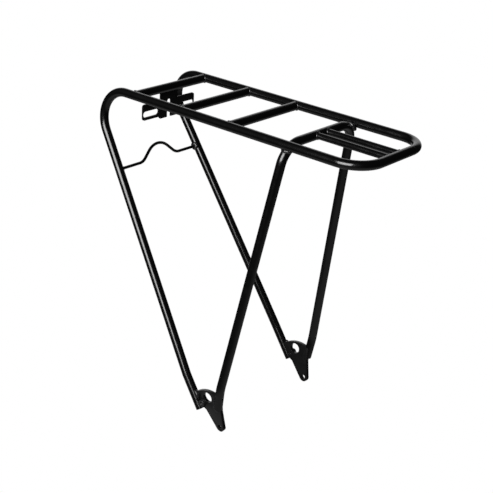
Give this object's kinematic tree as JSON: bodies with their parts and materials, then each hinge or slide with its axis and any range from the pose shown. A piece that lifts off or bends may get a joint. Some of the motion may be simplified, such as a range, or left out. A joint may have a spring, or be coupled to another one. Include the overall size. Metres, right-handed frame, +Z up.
{
  "type": "bicycle rear carrier",
  "caption": "Welded frame of bent steel tube with a flat deck on four splayed legs, a slotted front bracket and eyelet plates at the axle.",
  "frame": {"origin": "midway between the two frame eyelets, on their common axis", "axes": "+X to the rider's right, +Y to the front of the bicycle, +Z up"},
  "size_m": [0.1762, 0.3628, 0.3578],
  "materials": {
    "paint": "gloss",
    "sheet_paint": "satin gloss",
    "boss_paint": "gloss",
    "weld_paint": "gloss over weld beads"
  },
  "bodies": {
    "root": {"deck_tube": "paint", "leg_hoop": "paint", "crossbar_front": "paint", "crossbar_middle": "paint", "crossbar_rear": "paint", "rear_rod_left": "paint", "rear_rod_right": "paint", "front_bracket": "sheet_paint", "mudguard_bridge": "paint", "axle_plate_left": "sheet_paint", "axle_plate_right": "sheet_paint", "threaded_boss_left": "boss_paint", "threaded_boss_right": "boss_paint", "crossbar_welds": "weld_paint", "rear_rod_welds": "weld_paint", "hoop_welds": "weld_paint", "bridge_welds": "weld_paint", "bracket_welds": "weld_paint", "plate_welds_left": "weld_paint", "plate_welds_right": "weld_paint"}
  },
  "joints": []
}
